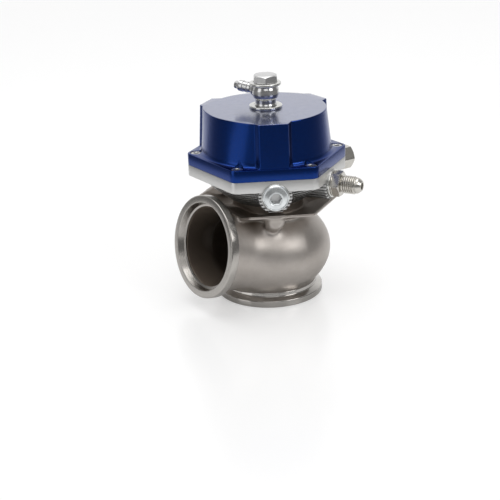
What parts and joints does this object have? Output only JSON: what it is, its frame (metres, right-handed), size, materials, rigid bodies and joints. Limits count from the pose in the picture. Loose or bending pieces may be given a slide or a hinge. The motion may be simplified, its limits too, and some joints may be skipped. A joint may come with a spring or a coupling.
{
  "type": "turbo wastegate",
  "caption": "External wastegate: cast valve body with two V-band flanges, finned lower housing and round spring cap, whose sprung poppet valve lifts off its seat to bypass exhaust gas.",
  "frame": {"origin": "centre of the inlet flange's face, on the valve's axis", "axes": "+Z along the valve's axis from the inlet to the cap; the outlet points towards -X and is pitched up 9.7 degrees"},
  "size_m": [0.1218, 0.1059, 0.1407],
  "materials": {
    "cast_steel": "bead-blasted stainless casting",
    "machined_steel": "turned",
    "bronze": "turned bronze",
    "gasket_steel": "matt",
    "bare_aluminium": "satin, clear anodised",
    "seal_rubber": "matt",
    "fastener_steel": "zinc plated",
    "diaphragm_rubber": "fabric reinforced",
    "plate_aluminium": "turned",
    "spring_steel": "oiled",
    "blue_anodised": "deep blue anodised, turned and milled",
    "washer_steel": "plated",
    "plated_steel": "bright plated",
    "zinc_plated": "zinc plated",
    "fitting_steel": "nickel plated"
  },
  "bodies": {
    "housing": {"valve_body": "cast_steel", "valve_seat_ring": "machined_steel", "valve_guide": "bronze", "heat_gasket": "gasket_steel", "lower_housing": "bare_aluminium", "stem_bush": "bronze", "stem_seal": "seal_rubber", "housing_bolts": "fastener_steel", "diaphragm": "diaphragm_rubber", "outer_spring": "spring_steel", "inner_spring": "spring_steel", "cap": "blue_anodised", "cap_screws": "fastener_steel", "lower_sealing_washer": "washer_steel", "banjo_fitting": "plated_steel", "upper_sealing_washer": "washer_steel", "banjo_bolt": "plated_steel", "front_port_plug": "zinc_plated", "front_plug_washer": "washer_steel", "flare_adapter": "fitting_steel", "flare_adapter_washer": "washer_steel", "rear_adapter": "fitting_steel", "rear_adapter_washer": "washer_steel", "rear_flare_cap": "fitting_steel"},
    "valve": {"poppet_valve": "machined_steel", "lower_plate": "plate_aluminium", "spring_seat": "plate_aluminium", "stem_washer": "fastener_steel", "stem_nut": "fastener_steel"}
  },
  "joints": [
    {"name": "valve_lift", "type": "slide", "parent": "housing", "child": "valve", "axis": [0, 0, 1], "range_m": [0, 0.012], "stiffness_N_per_m": 7000, "springref_m": -0.02, "deforming": ["outer_spring", "inner_spring", "diaphragm"]}
  ]
}
